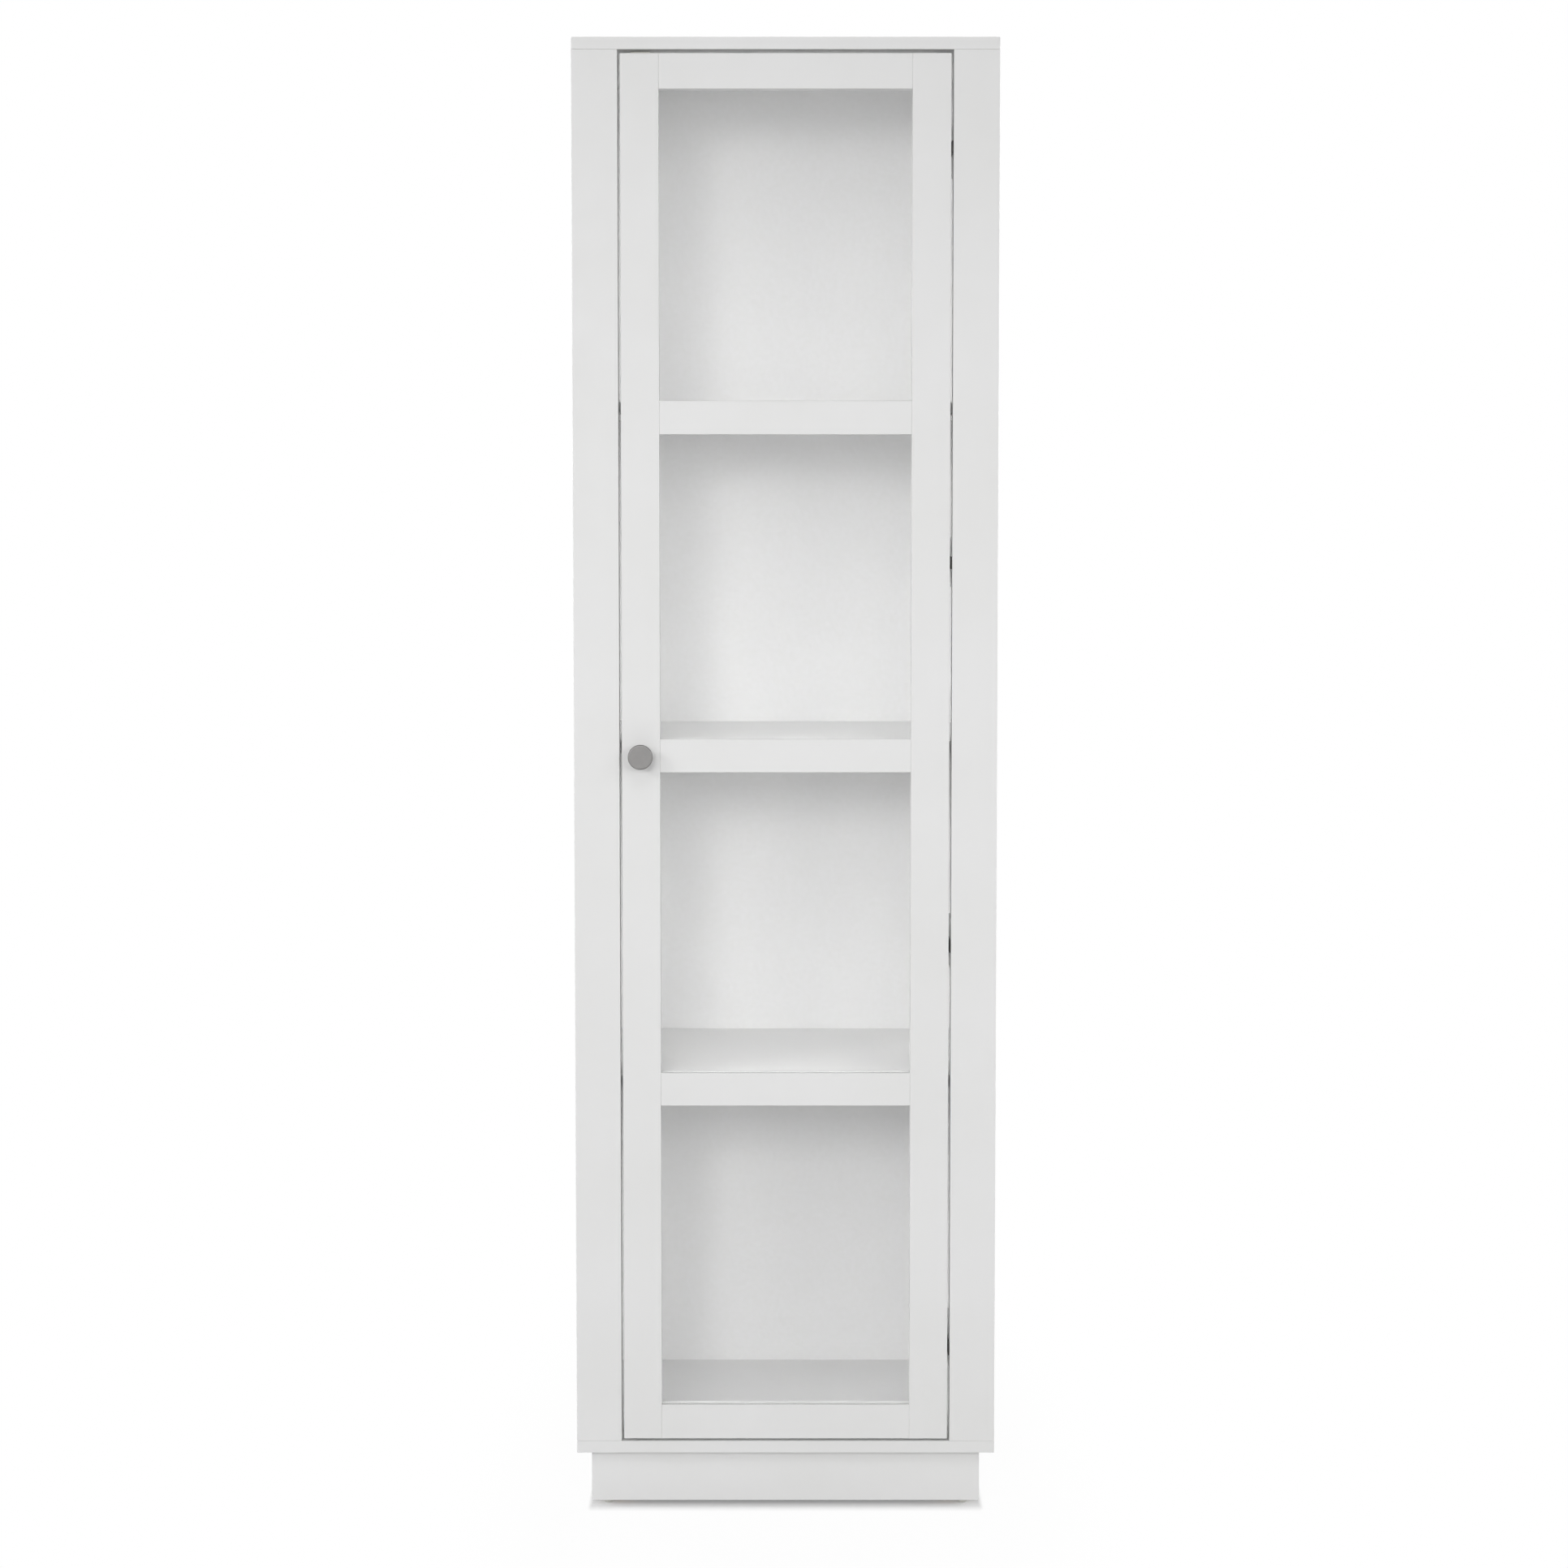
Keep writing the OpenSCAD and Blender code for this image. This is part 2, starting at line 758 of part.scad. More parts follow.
module hinge_arm_screws() {
    head_u = arm_u - hinge_screw_head_t;
    color(zinc)
        for (z = hinge_z)
            for (v = arm_screw_v) {
                difference() {
                    rod_x(head_u, arm_u, v, z, screw_head_d);
                    board(head_u - cut, head_u + driver_slot_depth, v - driver_slot_w / 2,
                        v + driver_slot_w / 2, z - driver_slot_length / 2, z + driver_slot_length / 2);
                }
                rod_x(arm_u - loose, opening_half - loose, v, z, screw_d);
            }
}

module hinge_pin_set(p, half_length) {
    color(zinc)
        for (z = hinge_z)
            rod_z(p.x, p.y, z - half_length, z + half_length, hinge_pin_d);
}

module hinge_arm_pins() {
    hinge_pin_set(arm_pin, hinge_h / 2);
}

module hinge_knuckle_pins() {
    hinge_pin_set(knuckle, link_half_h);
}

module hinge_cup_pins() {
    hinge_pin_set(cup_pin, hinge_h / 2);
}

module hinge_swing_links() {
    color(hinge_steel)
        for (z = hinge_z)
            difference() {
                union() {
                    bar([arm_pin, knuckle], z - tongue_half_h, z + tongue_half_h);
                    rod_z(knuckle.x, knuckle.y, z - tongue_half_h, z + tongue_half_h, knuckle_eye_d);
                    rod_z(arm_pin.x, arm_pin.y, z - link_half_h, z + link_half_h, swing_barrel_d);
                }
                rod_z(arm_pin.x, arm_pin.y, z - hinge_h, z + hinge_h, hinge_pin_d + 2 * thin);
                rod_z(knuckle.x, knuckle.y, z - hinge_h, z + hinge_h, hinge_pin_d + 2 * thin);
            }
}

module hinge_cranked_links() {
    color(hinge_steel)
        for (z = hinge_z)
            difference() {
                union() {
                    bar([knuckle, crank_1, crank_2, cup_pin], z - link_half_h, z + link_half_h);
                    rod_z(knuckle.x, knuckle.y, z - link_half_h, z + link_half_h, knuckle_eye_d);
                    rod_z(cup_pin.x, cup_pin.y, z - link_half_h, z + link_half_h, cup_eye_d);
                }
                rod_z(knuckle.x, knuckle.y, z - tongue_half_h - 2 * close, z + tongue_half_h + 2 * close,
                    2 * knuckle_eye_d);
                rod_z(knuckle.x, knuckle.y, z - hinge_h, z + hinge_h, hinge_pin_d + 2 * thin);
                rod_z(cup_pin.x, cup_pin.y, z - hinge_h, z + hinge_h, hinge_pin_d + 2 * thin);
            }
}

module hinge_cup(i) {
    z = hinge_z[i];
    inner_r = cup_d / 2 - cup_wall;
    cheek_z = hinge_h / 2 - cheek_t;
    color(hinge_steel)
        difference() {
            union() {
                difference() {
                    union() {
                        rod_y(cup_u, cup_v0 + close, door_t + cup_flange_t, z, cup_d - 2 * close);
                        rod_y(cup_u, door_t, door_t + cup_flange_t, z, cup_d + 2);
                        board(cup_u - cup_wing_in, cup_u + cup_wing_out, door_t, door_t + cup_flange_t,
                            z - cup_wing_z, z + cup_wing_z);
                    }
                    rod_y(cup_u, cup_v0 + cup_wall, door_t + cup_flange_t + cut, z, 2 * inner_r);
                }
                for (s = [-1, 1])
                    board(cup_pin.x - hinge_pin_d - cut, cup_u + inner_r - cup_cheek_in, cup_v0 + cut,
                        cup_pin.y + hinge_pin_d + cut, z + s * (cheek_z + cheek_t / 2) - cheek_t / 2,
                        z + s * (cheek_z + cheek_t / 2) + cheek_t / 2);
            }
            rod_z(cup_pin.x, cup_pin.y, z - hinge_h / 2 - close, z + hinge_h / 2 + close,
                hinge_pin_d + 2 * thin);
            for (s = [-1, 1])
                rod_y(cup_u - cup_screw_out, door_t - cut, door_t + cup_flange_t + cut, z + s * cup_screw_z,
                    screw_d + 2 * close);
        }
}

module hinge_cup_1() {
    hinge_cup(0);
}

module hinge_cup_2() {
    hinge_cup(1);
}

module hinge_cup_3() {
    hinge_cup(2);
}

module hinge_cup_4() {
    hinge_cup(3);
}

module hinge_cup_screws() {
    head_v = door_t + cup_flange_t;
    color(zinc)
        for (z = hinge_z)
            for (s = [-1, 1]) {
                rod_y(cup_u - cup_screw_out, head_v, head_v + hinge_screw_head_t, z + s * cup_screw_z,
                    screw_head_d);
                rod_y(cup_u - cup_screw_out, door_t - cup_screw_in, head_v + loose, z + s * cup_screw_z,
                    screw_d - 2 * close);
            }
}

// Door

module pane_pocket(i) {
    board(-pane_half - rebate_w, pane_half + rebate_w, glass_lip_t, door_t + cut,
        rail_z0[i] + rail_h[i] - rebate_w, rail_z0[i + 1] + rebate_w);
}

module door_dowel_set(gap, spare) {
    both_sides()
        for (i = [0:4])
            for (s = [-1, 1])
                rod_x(pane_half - door_dowel_length / 2 - spare, pane_half + door_dowel_length / 2 + spare,
                    door_dowel_v, rail_z0[i] + rail_h[i] / 2 + s * door_dowel_step, dowel_d + 2 * gap);
}

module door_joints() {
    for (i = [0:3])
        pane_pocket(i);
    door_dowel_set(close, loose);
}

module door_stile_left() {
    color(lacquer)
        difference() {
            board(-door_half, -pane_half, 0, door_t, door_z0, door_z1);
            door_joints();
            rod_y(knob_u, -cut, door_t + cut, door_mid_z, screw_d + 2 * close);
        }
}

module door_stile_right() {
    color(lacquer)
        difference() {
            board(pane_half, door_half, 0, door_t, door_z0, door_z1);
            door_joints();
            for (z = hinge_z) {
                rod_y(cup_u, cup_v0, door_t + cut, z, cup_d);
                for (s = [-1, 1])
                    rod_y(cup_u - cup_screw_out, door_t - cup_screw_in - loose, door_t + cut,
                        z + s * cup_screw_z, screw_d);
            }
        }
}

module door_rail(i) {
    color(lacquer)
        difference() {
            board(-pane_half, pane_half, 0, door_t, rail_z0[i], rail_z0[i] + rail_h[i]);
            door_joints();
        }
}

module door_rail_bottom() {
    door_rail(0);
}

module door_rail_lower() {
    door_rail(1);
}

module door_rail_middle() {
    door_rail(2);
}

module door_rail_upper() {
    door_rail(3);
}

module door_rail_top() {
    door_rail(4);
}

module door_dowels() {
    color(beech)
        door_dowel_set(0, 0);
}

module glass_pane(i) {
    edge = rebate_w - 2 * loose;
    color(clear_glass)
        board(-pane_half - edge, pane_half + edge, glass_lip_t, glass_lip_t + glass_t,
            rail_z0[i] + rail_h[i] - edge, rail_z0[i + 1] + edge);
}

module glass_pane_1() {
    glass_pane(0);
}

module glass_pane_2() {
    glass_pane(1);
}

module glass_pane_3() {
    glass_pane(2);
}

module glass_pane_4() {
    glass_pane(3);
}

module glazing_beads() {
    edge = rebate_w - close;
    color(lacquer)
        for (i = [0:3]) {
            z0 = rail_z0[i] + rail_h[i];
            z1 = rail_z0[i + 1];
            both_sides()
                board(pane_half, pane_half + edge, bead_v0, door_t, z0 - edge, z1 + edge);
            board(-pane_half + close, pane_half - close, bead_v0, door_t, z0 - edge, z0);
            board(-pane_half + close, pane_half - close, bead_v0, door_t, z1, z1 + edge);
        }
}

// Knob: a flat head on a waisted neck, turned in one piece

module door_knob() {
    r = knob_d / 2;
    neck_r = knob_neck_d / 2;
    foot_r = knob_foot_d / 2;
    swell_r = r - knob_chamfer_w;
    round_r = knob_round_r;
    half_flare = (knob_projection - knob_rim_t - knob_foot_t) / 2;
    waist = [for (a = [0:15:90])
        [neck_r + (foot_r - neck_r) * (1 - sin(a)), knob_foot_t + half_flare * (1 - cos(a))]];
    swell = [for (a = [15:15:90])
        [neck_r + (swell_r - neck_r) * (1 - cos(a)), knob_foot_t + half_flare * (1 + sin(a))]];
    rim = [for (a = [0:30:90])
        [r - round_r + round_r * cos(a), knob_projection - round_r + round_r * sin(a)]];
    outline = concat([[0, 0], [foot_r, 0]], waist, swell,
        [[r, knob_projection - knob_rim_t + knob_chamfer_t]], rim, [[0, knob_projection]]);
    color(nickel)
        translate([knob_u, front_y, door_mid_z])
            rotate([90, 0, 0])
                difference() {
                    rotate_extrude()
                        polygon(outline);
                    translate([0, 0, -cut])
                        cylinder(h = knob_screw_in + loose + cut, d = screw_d + 2 * thin);
                }
}

module knob_screw() {
    color(zinc) {
        rod_y(knob_u, -knob_screw_in, door_t + cut, door_mid_z, screw_d);
        rod_y(knob_u, door_t, door_t + knob_screw_head_t, door_mid_z, screw_head_d);
    }
}

top_panel();
bottom_panel();
side_panel_left();
side_panel_right();
front_stile_left();
front_stile_right();
back_panel();
shelf_lower();
shelf_middle();
shelf_upper();
shelf_pins();
plinth_front();
plinth_back();
plinth_side_left();
plinth_side_right();
plinth_corner_blocks();
plinth_screws();
floor_glides();
cam_locks();
cam_bolts();
panel_dowels();
stile_dowels();
door_stops();
door_stop_pads();
door_stop_screws();
hinge_blocks();
hinge_plates();
hinge_plate_screws();
hinge_arm_1();
hinge_arm_2();
hinge_arm_3();
hinge_arm_4();
hinge_arm_screws();
hinge_arm_pins();
hinge_swing_links();
hinge_knuckle_pins();
hinge_cranked_links();
hinge_cup_1();
hinge_cup_2();
hinge_cup_3();
hinge_cup_4();
hinge_cup_screws();
hinge_cup_pins();
door_stile_left();
door_stile_right();
door_rail_bottom();
door_rail_lower();
door_rail_middle();
door_rail_upper();
door_rail_top();
door_dowels();
glass_pane_1();
glass_pane_2();
glass_pane_3();
glass_pane_4();
glazing_beads();
door_knob();
knob_screw();
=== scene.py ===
import json
from math import atan, cos, pi, radians, sin, tan

import bmesh
import bpy
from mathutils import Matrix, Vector


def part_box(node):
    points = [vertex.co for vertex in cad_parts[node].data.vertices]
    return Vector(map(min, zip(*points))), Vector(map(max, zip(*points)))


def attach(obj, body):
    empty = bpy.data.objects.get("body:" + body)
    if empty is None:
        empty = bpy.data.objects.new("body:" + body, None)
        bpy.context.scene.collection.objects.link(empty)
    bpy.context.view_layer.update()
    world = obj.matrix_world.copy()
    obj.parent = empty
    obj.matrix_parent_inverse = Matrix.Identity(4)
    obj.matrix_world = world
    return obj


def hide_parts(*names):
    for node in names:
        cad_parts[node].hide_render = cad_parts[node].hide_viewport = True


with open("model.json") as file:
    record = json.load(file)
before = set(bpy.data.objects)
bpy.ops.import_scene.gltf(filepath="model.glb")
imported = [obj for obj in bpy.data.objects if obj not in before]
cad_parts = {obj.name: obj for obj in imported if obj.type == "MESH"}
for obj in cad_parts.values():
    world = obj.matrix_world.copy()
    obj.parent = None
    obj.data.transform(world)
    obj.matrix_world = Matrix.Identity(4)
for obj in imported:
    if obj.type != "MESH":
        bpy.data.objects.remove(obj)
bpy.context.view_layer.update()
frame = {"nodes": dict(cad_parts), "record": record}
bodyOf = {name: body for body, group in frame["record"]["behaviour"]["bodies"].items() for name in group}
slotOf = {part["node"]: part["material_slot"] for part in frame["record"]["subparts"]}
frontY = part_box("front_stile_left")[0].y  # the plane of the fronts
print("Frame loaded with", len(frame["nodes"]), "nodes")


# Camera: at eye height in front of the door, looking slightly down
cameraValues = {
    "distance": 4.0,  # metres from the fronts
    "eyeHeight": 1.263,
    "aside": -0.0019,
    "centreHeight": 0.9101,  # what the middle of the picture shows, at the fronts
    "focal": 74.97,
    "sensor": 36.0,
    "shiftY": -0.04,
    "clipEnd": 100,
}


def setCamera(v):
    lens = bpy.data.cameras.new("studioCamera")
    lens.lens = v["focal"]
    lens.sensor_width = v["sensor"]
    lens.shift_y = v["shiftY"]
    lens.clip_end = v["clipEnd"]
    camera = bpy.data.objects.new("studioCamera", lens)
    drop = atan((v["eyeHeight"] - v["centreHeight"]) / v["distance"])
    tilt = drop - atan(-v["shiftY"] * v["sensor"] / v["focal"])
    camera.location = (v["aside"], frontY - v["distance"], v["eyeHeight"])
    camera.rotation_euler = (pi / 2 - tilt, 0, 0)
    bpy.context.scene.collection.objects.link(camera)
    bpy.context.scene.camera = camera


setCamera(cameraValues)


# Node helpers
def linear(code):  # an sRGB hex colour as linear light
    parts = [int(code[i:i + 2], 16) / 255 for i in (0, 2, 4)]
    return [c / 12.92 if c <= 0.04045 else ((c + 0.055) / 1.055) ** 2.4 for c in parts] + [1.0]


def addNode(tree, kind, settings=None, links=None):
    made = tree.nodes.new(kind)
    for key, value in (settings or {}).items():
        if isinstance(key, int) or key in made.inputs:
            made.inputs[key].default_value = value
        else:
            setattr(made, key, value)
    for key, source in (links or {}).items():
        tree.links.new(source, made.inputs[key])
    return made


def newMaterial(name, settings):
    made = bpy.data.materials.new(name)
    made.use_nodes = True
    tree = made.node_tree
    shader = tree.nodes["Principled BSDF"]
    for key, value in settings.items():
        shader.inputs[key].default_value = value
    place = addNode(tree, "ShaderNodeTexCoord").outputs["Object"]
    return made, tree, shader, place


def grainPattern(tree, place, millimetres, detail=2.0, stretch=(1, 1, 1)):  # noise with grains of this width
    mapped = addNode(tree, "ShaderNodeMapping", {"Scale": stretch}, {"Vector": place})
    noise = addNode(tree, "ShaderNodeTexNoise", {"Scale": 1000 / millimetres, "Detail": detail},
                    {"Vector": mapped.outputs[0]})
    return noise.outputs[0]


noiseMiddle = (0.3, 0.7)  # most of a noise lies between these, so this part is drawn out to the full


def dressSurface(tree, shader, tone, gloss=None, relief=None, toneSpan=noiseMiddle, strength=1.0):
    # Tone is a pattern and its two colours, gloss a pattern and its least and most roughness, and relief a pattern
    # and its height in metres
    pattern, first, second = tone
    factor = addNode(tree, "ShaderNodeMapRange", {"From Min": toneSpan[0], "From Max": toneSpan[1]},
                     {"Value": pattern})
    colour = addNode(tree, "ShaderNodeMix", {"data_type": "RGBA", 6: linear(first), 7: linear(second)},
                     {0: factor.outputs[0]})
    tree.links.new(colour.outputs[2], shader.inputs["Base Color"])
    if gloss:
        pattern, least, most = gloss
        roughness = addNode(tree, "ShaderNodeMapRange", {"From Min": noiseMiddle[0], "From Max": noiseMiddle[1],
                                                         "To Min": least, "To Max": most}, {"Value": pattern})
        tree.links.new(roughness.outputs[0], shader.inputs["Roughness"])
    if relief:
        pattern, height = relief
        bump = addNode(tree, "ShaderNodeBump", {"Distance": height, "Strength": strength}, {"Height": pattern})
        tree.links.new(bump.outputs[0], shader.inputs["Normal"])


def seenDirectly(tree):  # 1 for what the eye sees, also in a reflection or through glass, else 0
    path = addNode(tree, "ShaderNodeLightPath").outputs
    seen = path["Is Camera Ray"]
    for kind in ("Is Glossy Ray", "Is Transmission Ray"):
        seen = addNode(tree, "ShaderNodeMath", {"operation": "MAXIMUM"}, {0: seen, 1: path[kind]}).outputs[0]
    return seen


# Materials. A pattern's width is in millimetres and its depth in metres.
def sprayedLacquer():
    # Satin lacquer sprayed on board: an even soft sheen with the faintest orange peel.
    # Real peel is about 1 mm wide, and is drawn coarser so that it shows.
    v = {"white": "EAEAEA", "shade": "E6E6E5", "cloud": 220, "patch": 30, "peel": 4, "peelDepth": 0.000012,
         "sheen": (0.42, 0.5)}
    made, tree, shader, place = newMaterial("sprayedLacquer", {"IOR": 1.5})
    cloud = grainPattern(tree, place, v["cloud"], detail=3)
    patch = grainPattern(tree, place, v["patch"])
    peel = grainPattern(tree, place, v["peel"], detail=1)
    dressSurface(tree, shader, (cloud, v["white"], v["shade"]), (patch, *v["sheen"]), (peel, v["peelDepth"]))
    return made


def melamineBoard():
    # White melamine foil on chipboard: duller than lacquer, with a fine pebbled press texture
    v = {"white": "F5F5F5", "shade": "F2F2F1", "cloud": 160, "patch": 12, "pebble": 3, "pebbleDepth": 0.00003,
         "sheen": (0.46, 0.56)}
    made, tree, shader, place = newMaterial("melamineBoard", {"IOR": 1.5})
    cloud = grainPattern(tree, place, v["cloud"], detail=3)
    patch = grainPattern(tree, place, v["patch"])
    pebble = grainPattern(tree, place, v["pebble"], detail=3)
    dressSurface(tree, shader, (cloud, v["white"], v["shade"]), (patch, *v["sheen"]), (pebble, v["pebbleDepth"]))
    return made


def paintedHardboard():
    # Hardboard painted white on its good side: flat and matt, with a faint fibre print
    v = {"white": "F1F1F1", "shade": "EEEEED", "fibre": 5, "depth": 0.00002, "sheen": (0.55, 0.65)}
    made, tree, shader, place = newMaterial("paintedHardboard", {"IOR": 1.5})
    fibre = grainPattern(tree, place, v["fibre"], detail=4)
    dressSurface(tree, shader, (fibre, v["white"], v["shade"]), (fibre, *v["sheen"]), (fibre, v["depth"]))
    return made


def sawnBeech():
    # Unfinished beech: pale tan with darker streaks along the grain, dry to the eye
    v = {"pale": "D9B98A", "dark": "BE935F", "grain": 6, "along": 0.08, "sheen": (0.6, 0.75), "depth": 0.00008}
    made, tree, shader, place = newMaterial("sawnBeech", {})
    grain = grainPattern(tree, place, v["grain"], detail=4, stretch=(1, 1, v["along"]))
    dressSurface(tree, shader, (grain, v["pale"], v["dark"]), (grain, *v["sheen"]), (grain, v["depth"]))
    return made


def satinNickel(centre):
    # Turned zinc with satin nickel plating, with faint rings about the knob's axis. Its grey is partly the nickel's
    # own and partly painted: the base is darkened to stand in for the dark room its face reflects, a painted
    # reflection.
    v = {"metal": "747372", "bright": "7B7A79", "smudge": 9, "ring": 0.9, "ringDepth": 0.000006, "sheen": (0.42, 0.5)}
    made, tree, shader, place = newMaterial("satinNickel", {"Metallic": 1.0})
    centred = addNode(tree, "ShaderNodeMapping", {"Location": [-centre.x, 0, -centre.z], "Scale": (1, 0, 1)},
                      {"Vector": place})
    outward = addNode(tree, "ShaderNodeVectorMath", {"operation": "LENGTH"}, {0: centred.outputs[0]})
    turned = addNode(tree, "ShaderNodeMath", {"operation": "MULTIPLY", 1: 2 * pi * 1000 / v["ring"]},
                     {0: outward.outputs["Value"]})
    rings = addNode(tree, "ShaderNodeMath", {"operation": "SINE"}, {0: turned.outputs[0]}).outputs[0]
    smudge = grainPattern(tree, place, v["smudge"], detail=3)
    dressSurface(tree, shader, (smudge, v["metal"], v["bright"]), (smudge, *v["sheen"]), (rings, v["ringDepth"]))
    return made


def pressedSteel():
    # Pressed steel, smooth and slightly uneven where it was drawn. Its dark grey is painted shade: it stands in for
    # the shade the hinges sit in deep in the door gaps, and is darker than the steel's own nickel.
    v = {"metal": "4E4D4C", "shade": "403F3E", "drawn": 7, "sheen": (0.3, 0.42), "depth": 0.00001}
    made, tree, shader, place = newMaterial("pressedSteel", {"Metallic": 1.0})
    drawn = grainPattern(tree, place, v["drawn"], detail=3)
    dressSurface(tree, shader, (drawn, v["metal"], v["shade"]), (drawn, *v["sheen"]), (drawn, v["depth"]))
    return made


def zincPlate():
    # Blue zinc plating on screws and cams: a cool grey metal with a fine spangle
    v = {"metal": "B4B8BC", "shade": "9DA2A8", "spangle": 1.6, "sheen": (0.3, 0.45), "depth": 0.000008}
    made, tree, shader, place = newMaterial("zincPlate", {"Metallic": 1.0})
    spangle = grainPattern(tree, place, v["spangle"], detail=2)
    dressSurface(tree, shader, (spangle, v["metal"], v["shade"]), (spangle, *v["sheen"]), (spangle, v["depth"]))
    return made


def mouldedNylon():
    # Natural nylon, injection moulded: milky off-white with a dull spark-eroded surface
    v = {"white": "E8E7E0", "shade": "DEDDD5", "grain": 1.2, "sheen": (0.42, 0.55), "depth": 0.00001}
    made, tree, shader, place = newMaterial("mouldedNylon", {"IOR": 1.53})
    grain = grainPattern(tree, place, v["grain"], detail=2)
    dressSurface(tree, shader, (grain, v["white"], v["shade"]), (grain, *v["sheen"]), (grain, v["depth"]),
                 toneSpan=(0, 1))
    return made


def clearPolyurethane():
    # Soft polyurethane bumper: a clear domed gel, slightly clouded
    v = {"tint": "EFF1F0", "shade": "E2E6E5", "cloud": 2, "sheen": (0.12, 0.22)}
    made, tree, shader, place = newMaterial("clearPolyurethane", {"IOR": 1.49, "Transmission Weight": 0.75})
    cloud = grainPattern(tree, place, v["cloud"], detail=2)
    dressSurface(tree, shader, (cloud, v["tint"], v["shade"]), (cloud, *v["sheen"]), toneSpan=(0, 1))
    return made


def floatGlass():
    # Clear float glass: nearly invisible head on, with a very slight ripple. The frame hides its green edges.
    # Light from lamps passes straight through it, as it does through a thin pane.
    v = {"tint": "FFFFFF", "shade": "FDFDFD", "through": "FBFBFB", "ripple": 90, "rippleDepth": 0.00002,
         "rippleStrength": 0.5}
    made, tree, shader, place = newMaterial("floatGlass", {"IOR": 1.5, "Roughness": 0.0, "Transmission Weight": 1.0,
                                                           "Specular IOR Level": 0.3})
    ripple = grainPattern(tree, place, v["ripple"], detail=1)
    dressSurface(tree, shader, (ripple, v["tint"], v["shade"]), relief=(ripple, v["rippleDepth"]), toneSpan=(0, 1),
                 strength=v["rippleStrength"])
    path = addNode(tree, "ShaderNodeLightPath")
    clear = addNode(tree, "ShaderNodeBsdfTransparent", {"Color": linear(v["through"])})
    mixed = addNode(tree, "ShaderNodeMixShader", None, {0: path.outputs["Is Shadow Ray"], 1: shader.outputs[0],
                                                        2: clear.outputs[0]})
    tree.links.new(mixed.outputs[0], tree.nodes["Material Output"].inputs["Surface"])
    return made


knobLow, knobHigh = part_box("door_knob")
knobCentre = (knobLow + knobHigh) / 2
finishes = {
    "white_lacquer": sprayedLacquer(),
    "white_foil": melamineBoard(),
    "beech": sawnBeech(),
    "clear_glass": floatGlass(),
    "satin_nickel": satinNickel(knobCentre),
    "hinge_steel": pressedSteel(),
    "zinc_plate": zincPlate(),
    "pale_plastic": mouldedNylon(),
    "clear_pad": clearPolyurethane(),
}
print("Materials made:", len(finishes))


finishOf = {name: finishes[slot] for name, slot in slotOf.items()}
finishOf["back_panel"] = paintedHardboard()

# Every CAD node takes its finish from its slot in the record, except the back panel, which takes painted hardboard
for name, solid in frame["nodes"].items():
    solid.data.materials.clear()
    solid.data.materials.append(finishOf[name])


# Pieces
def camelName(name):
    first, *rest = name.split("_")
    return first + "".join(word.capitalize() for word in rest)


def placePiece(shape, name, replaced):
    mesh = bpy.data.meshes.new(name)
    shape.to_mesh(mesh)
    shape.free()
    mesh.materials.append(finishOf[replaced[0]])
    piece = bpy.data.objects.new(name, mesh)
    bpy.context.scene.collection.objects.link(piece)
    evened = piece.modifiers.new("evenNormals", "WEIGHTED_NORMAL")
    evened.keep_sharp = True
    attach(piece, bodyOf[replaced[0]])
    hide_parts(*replaced)
    return piece


def smoothByAngle(shape, limit):
    for face in shape.faces:
        face.smooth = True
    for edge in shape.edges:
        edge.smooth = len(edge.link_faces) == 2 and edge.calc_face_angle(0) < radians(limit)


softening = {
    "merge": 0.00001,  # metres, under which corners are one
    "flat": 1,  # degrees, under which neighbouring faces are one
    "sharp": 40,  # degrees, over which an outer edge is rounded
    "segments": 3,
    "crease": 35,  # degrees, over which shading breaks
}


def softenedNode(name, radius, shortest):
    v = softening
    shape = bmesh.new()
    shape.from_mesh(frame["nodes"][name].data)
    bmesh.ops.remove_doubles(shape, verts=shape.verts, dist=v["merge"])
    bmesh.ops.dissolve_limit(shape, angle_limit=radians(v["flat"]), verts=shape.verts, edges=shape.edges)
    worn = [edge for edge in shape.edges
            if len(edge.link_faces) == 2 and edge.is_convex and edge.calc_length() > shortest
            and edge.calc_face_angle(0) > radians(v["sharp"])]
    bmesh.ops.bevel(shape, geom=worn, offset=radius, offset_type="OFFSET", affect="EDGES", profile=0.5,
                    segments=v["segments"], material=-1, clamp_overlap=True)
    smoothByAngle(shape, v["crease"])
    return placePiece(shape, camelName(name), [name])


# Boards with eased edges. The radius is what sanding and lacquer leave on an edge.
boardShortest = 0.012  # metres. Shorter edges belong to holes and stay sharp.
boardEdges = {
    "carcass": {"radius": 0.0008, "nodes": ["top_panel", "bottom_panel", "side_panel_left", "side_panel_right",
                                            "front_stile_left", "front_stile_right"]},
    "door": {"radius": 0.0007, "nodes": ["door_stile_left", "door_stile_right", "door_rail_bottom",
                                         "door_rail_lower", "door_rail_middle", "door_rail_upper", "door_rail_top"]},
    "inside": {"radius": 0.0005, "nodes": ["shelf_lower", "shelf_middle", "shelf_upper", "hinge_blocks",
                                           "glazing_beads"]},
    "plinth": {"radius": 0.0008, "nodes": ["plinth_front", "plinth_back", "plinth_side_left",
                                           "plinth_side_right", "plinth_corner_blocks"]},
}
for group in boardEdges.values():
    for name in group["nodes"]:
        softenedNode(name, group["radius"], boardShortest)
print("Boards eased:", sum(len(group["nodes"]) for group in boardEdges.values()))


# Metal and plastic fittings with rounded edges
fittingEdges = {"radius": 0.0003, "shortest": 0.0012}
fittings = ["hinge_plates", "hinge_arm_1", "hinge_arm_2", "hinge_arm_3", "hinge_arm_4", "hinge_swing_links",
            "hinge_cranked_links", "hinge_cup_1", "hinge_cup_2", "hinge_cup_3", "hinge_cup_4", "door_stops"]
for name in fittings:
    softenedNode(name, fittingEdges["radius"], fittingEdges["shortest"])
print("Fittings eased:", len(fittings))


